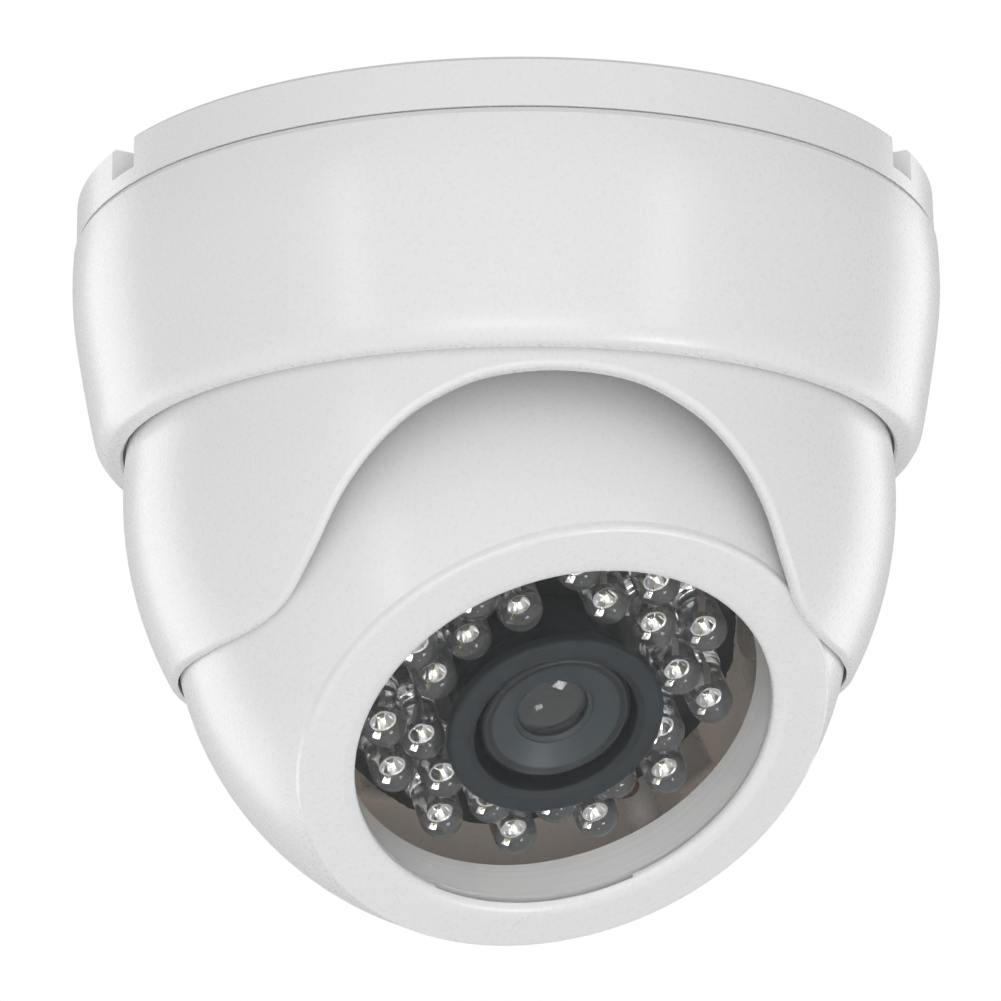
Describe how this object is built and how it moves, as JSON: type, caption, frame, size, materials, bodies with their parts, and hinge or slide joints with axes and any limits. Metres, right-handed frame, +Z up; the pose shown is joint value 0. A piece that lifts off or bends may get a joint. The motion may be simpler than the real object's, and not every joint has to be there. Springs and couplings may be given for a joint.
{
  "type": "dome security camera",
  "caption": "Ceiling-hung infrared dome camera: base ring, twist-on collar, scooped turning shell and a tilting eyeball with flat bezel, clear window, ringed lamps and a small lens.",
  "frame": {"origin": "centre of the base face that lies against the ceiling, which is also the centre of the ceiling screw circle", "axes": "+Z up, out of the ceiling face; -Y is the front, midway between the two front rim notches; +X is to the right when the front is faced, seen from below and in front"},
  "size_m": [0.094, 0.094, 0.0791],
  "materials": {
    "white_shell": "satin white moulded plastic",
    "inner_plastic": "matt white moulded plastic",
    "grommet_rubber": "soft dark rubber",
    "hood_rubber": "fine-grained black rubber",
    "friction_felt": "pressed felt",
    "steel_screws": "plated steel",
    "clear_window": "clear polished acrylic",
    "clear_epoxy": "water-clear epoxy",
    "lamp_board": "black solder mask",
    "green_board": "green solder mask",
    "black_chip": "moulded black package",
    "sensor_package": "ceramic package with glass lid",
    "photocell_resin": "glazed light-sensitive face",
    "filter_glass": "coated filter glass",
    "lens_glass": "coated optical glass",
    "lens_body": "black anodised and moulded",
    "connector_plastic": "off-white nylon",
    "spacer_brass": "plain turned"
  },
  "bodies": {
    "base": {"mounting_base": "white_shell", "cable_grommet": "grommet_rubber", "pan_washer": "friction_felt", "clamp_ring": "inner_plastic", "clamp_screws": "steel_screws", "shell_felt_ring": "friction_felt"},
    "collar": {"collar": "white_shell"},
    "shell": {"dome_shell": "white_shell"},
    "yoke": {"pan_yoke": "inner_plastic"},
    "eye": {"eye_front": "white_shell", "eye_rear": "inner_plastic", "eye_screws": "steel_screws", "window": "clear_window", "window_ring": "inner_plastic", "ir_board": "lamp_board", "led_lamps": "clear_epoxy", "led_leads": "steel_screws", "ir_resistors": "black_chip", "photocell": "photocell_resin", "board_header": "black_chip", "board_spacers": "spacer_brass", "sensor_board": "green_board", "board_screws": "steel_screws", "stack_screws": "steel_screws", "image_sensor": "sensor_package", "ir_filter": "filter_glass", "lens_holder": "lens_body", "video_chip": "black_chip", "board_parts": "black_chip", "cable_connector": "connector_plastic", "lens_hood": "hood_rubber", "pivot_screws": "steel_screws", "tilt_washers": "friction_felt"},
    "lens": {"lens_barrel": "lens_body", "lens_front_glass": "lens_glass", "lens_rear_glass": "lens_glass"}
  },
  "joints": [
    {"name": "collar_twist", "type": "hinge", "parent": "base", "child": "collar", "pos_m": [0, 0, 0], "axis": [0, 0, 1], "range_deg": [-13, 0]},
    {"name": "shell_pan", "type": "hinge", "parent": "base", "child": "shell", "pos_m": [0, 0, 0], "axis": [0, 0, 1], "range_deg": [-175, 175]},
    {"name": "eye_pan", "type": "hinge", "parent": "base", "child": "yoke", "pos_m": [0, 0, 0], "axis": [0, 0, 1], "range_deg": [-175, 175]},
    {"name": "eye_tilt", "type": "hinge", "parent": "yoke", "child": "eye", "pos_m": [0, 0, -0.0436], "axis": [0.9409, 0.3387, 0], "range_deg": [-21, 38]},
    {"name": "lens_focus", "type": "hinge", "parent": "eye", "child": "lens", "pos_m": [0, 0, -0.0436], "axis": [0.2118, -0.5883, -0.7804], "range_deg": [-180, 180]}
  ]
}
